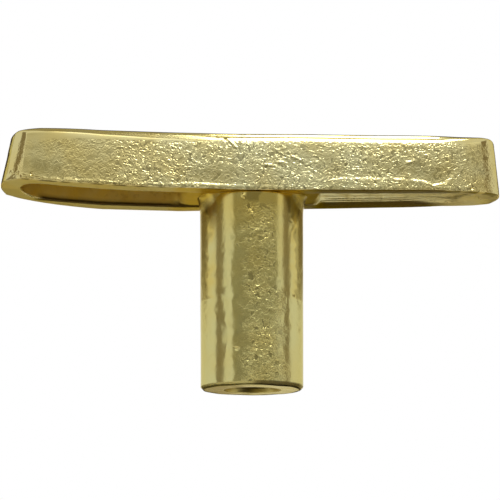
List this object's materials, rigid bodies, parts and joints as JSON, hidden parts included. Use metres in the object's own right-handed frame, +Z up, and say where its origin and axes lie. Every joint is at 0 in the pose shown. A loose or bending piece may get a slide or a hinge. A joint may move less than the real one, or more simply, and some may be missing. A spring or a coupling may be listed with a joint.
{
  "type": "t-bar winding key",
  "caption": "Brass T-bar winding key: a cast crossbar with a hollow underside on a round stem whose open end is tapped for a clock's winding arbor.",
  "frame": {"origin": "centre of the stem's open end, on the plane of its end face, which is the middle of the bottom of the whole key", "axes": "+Z up the stem's axis towards the crossbar, X along the crossbar's length, Y across its depth, with -Y towards the side that the picture shows"},
  "size_m": [0.025, 0.0054, 0.0125],
  "materials": {
    "cast_brass": "bright plated casting with a fine orange-peel skin",
    "turned_brass": "bright plated, slightly rough",
    "solder": "bright plated, smooth"
  },
  "bodies": {
    "root": {"t_bar": "cast_brass", "stem": "turned_brass", "solder_fillet": "solder"}
  },
  "joints": []
}
